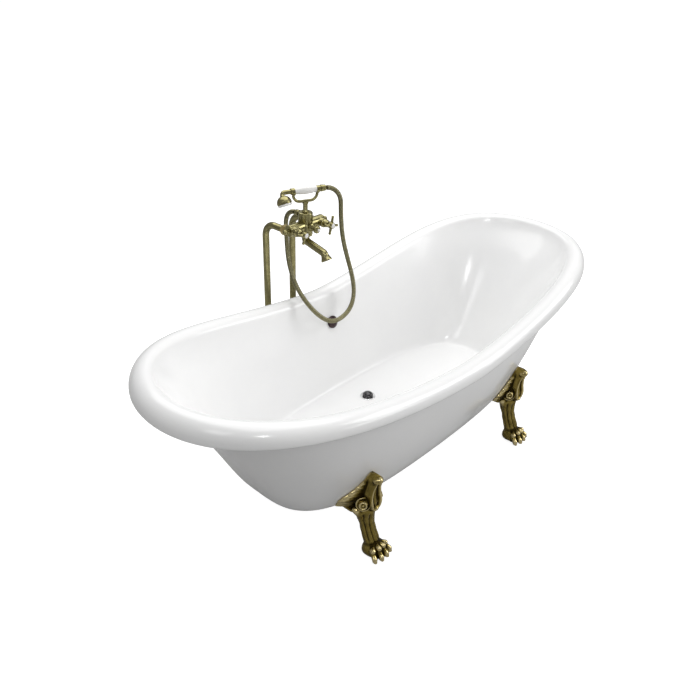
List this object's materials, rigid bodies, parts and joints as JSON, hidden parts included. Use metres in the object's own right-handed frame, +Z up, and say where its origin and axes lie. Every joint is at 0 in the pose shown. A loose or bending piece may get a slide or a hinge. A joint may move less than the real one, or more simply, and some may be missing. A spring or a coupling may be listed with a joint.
{
  "type": "clawfoot bathtub",
  "caption": "Double-walled clawfoot bathtub with a rolled rim that rises at both ends, cast claw feet, waste and overflow, and a floor-standing bath and shower mixer.",
  "frame": {"origin": "on the floor straight under the drain, at the free end of the waste tailpiece", "axes": "+X along the tub, +Y towards the side where the mixer stands, +Z up"},
  "size_m": [1.7496, 0.807, 0.8845],
  "materials": {
    "white_acrylic": "glossy sanitary acrylic",
    "plywood": "bare plywood",
    "antique_brass_casting": "casting with a polished antique brass finish",
    "rubber": "soft rubber",
    "zinc_steel": "zinc plated",
    "dark_chrome": "darkened chrome",
    "bright_chrome": "polished chrome",
    "dark_bronze": "dark bronze",
    "waste_plastic": "plain moulded plastic",
    "antique_brass": "antique brass, satin with darkened hollows",
    "polished_brass": "polished brass",
    "plain_brass": "machined",
    "porcelain": "glazed white",
    "brass_hose": "fine ribbed metal hose, antique brass"
  },
  "bodies": {
    "tub_and_mixer": {"tub_shell": "white_acrylic", "outer_skin": "white_acrylic", "base_board": "plywood", "foot_near_left": "antique_brass_casting", "foot_far_left": "antique_brass_casting", "foot_near_right": "antique_brass_casting", "foot_far_right": "antique_brass_casting", "foot_pads": "rubber", "foot_bolts": "zinc_steel", "foot_washers": "zinc_steel", "foot_nuts": "zinc_steel", "drain_flange": "bright_chrome", "drain_gasket": "rubber", "drain_body": "waste_plastic", "waste_tee": "waste_plastic", "waste_tail": "waste_plastic", "slip_nut": "waste_plastic", "overflow_plate": "dark_bronze", "overflow_screw": "dark_bronze", "overflow_gasket": "rubber", "overflow_cup": "waste_plastic", "overflow_pipe": "waste_plastic", "riser_left": "antique_brass", "floor_flange_left": "antique_brass", "riser_right": "antique_brass", "floor_flange_right": "antique_brass", "union_nut_left": "polished_brass", "union_nut_right": "polished_brass", "union_washers": "rubber", "mixer_body": "antique_brass", "bar_caps": "antique_brass", "bonnet_left": "antique_brass", "bonnet_right": "antique_brass", "diverter_bonnet": "antique_brass", "spout": "antique_brass", "spout_collar": "antique_brass", "flow_straightener": "waste_plastic", "cradle_post": "antique_brass", "cradle": "antique_brass", "hose_nut_mixer": "antique_brass", "hose_washer_mixer": "rubber", "shower_hose": "brass_hose"},
    "handle_left_body": {"handle_left": "antique_brass", "index_left": "porcelain", "spindle_left": "plain_brass"},
    "handle_right_body": {"handle_right": "antique_brass", "index_right": "porcelain", "spindle_right": "plain_brass"},
    "diverter": {"diverter_knob": "antique_brass", "diverter_tip": "porcelain", "diverter_spindle": "plain_brass"},
    "stopper_body": {"stopper": "dark_chrome", "stopper_seal": "rubber"},
    "handset": {"handset_grip": "porcelain", "handset_neck": "antique_brass", "handset_head": "antique_brass", "spray_face": "porcelain", "handset_tail": "antique_brass", "hose_nut_handset": "antique_brass", "hose_washer_handset": "rubber"}
  },
  "joints": [
    {"name": "left_handle_turn", "type": "hinge", "parent": "tub_and_mixer", "child": "handle_left_body", "pos_m": [-0.138, 0.165, 0.76], "axis": [0, -1, 0], "range_deg": [0, 90]},
    {"name": "right_handle_turn", "type": "hinge", "parent": "tub_and_mixer", "child": "handle_right_body", "pos_m": [-0.022, 0.165, 0.76], "axis": [0, 1, 0], "range_deg": [0, 90]},
    {"name": "diverter_turn", "type": "hinge", "parent": "tub_and_mixer", "child": "diverter", "pos_m": [-0.08, 0.175, 0.76], "axis": [0, -1, 0], "range_deg": [0, 90]},
    {"name": "stopper_lift", "type": "slide", "parent": "tub_and_mixer", "child": "stopper_body", "axis": [0, 0, 1], "range_m": [0, 0.01]},
    {"name": "handset_lift", "type": "slide", "parent": "tub_and_mixer", "child": "handset", "axis": [0, 0, 1], "range_m": [0, 0.06], "deforming": ["shower_hose"]}
  ]
}
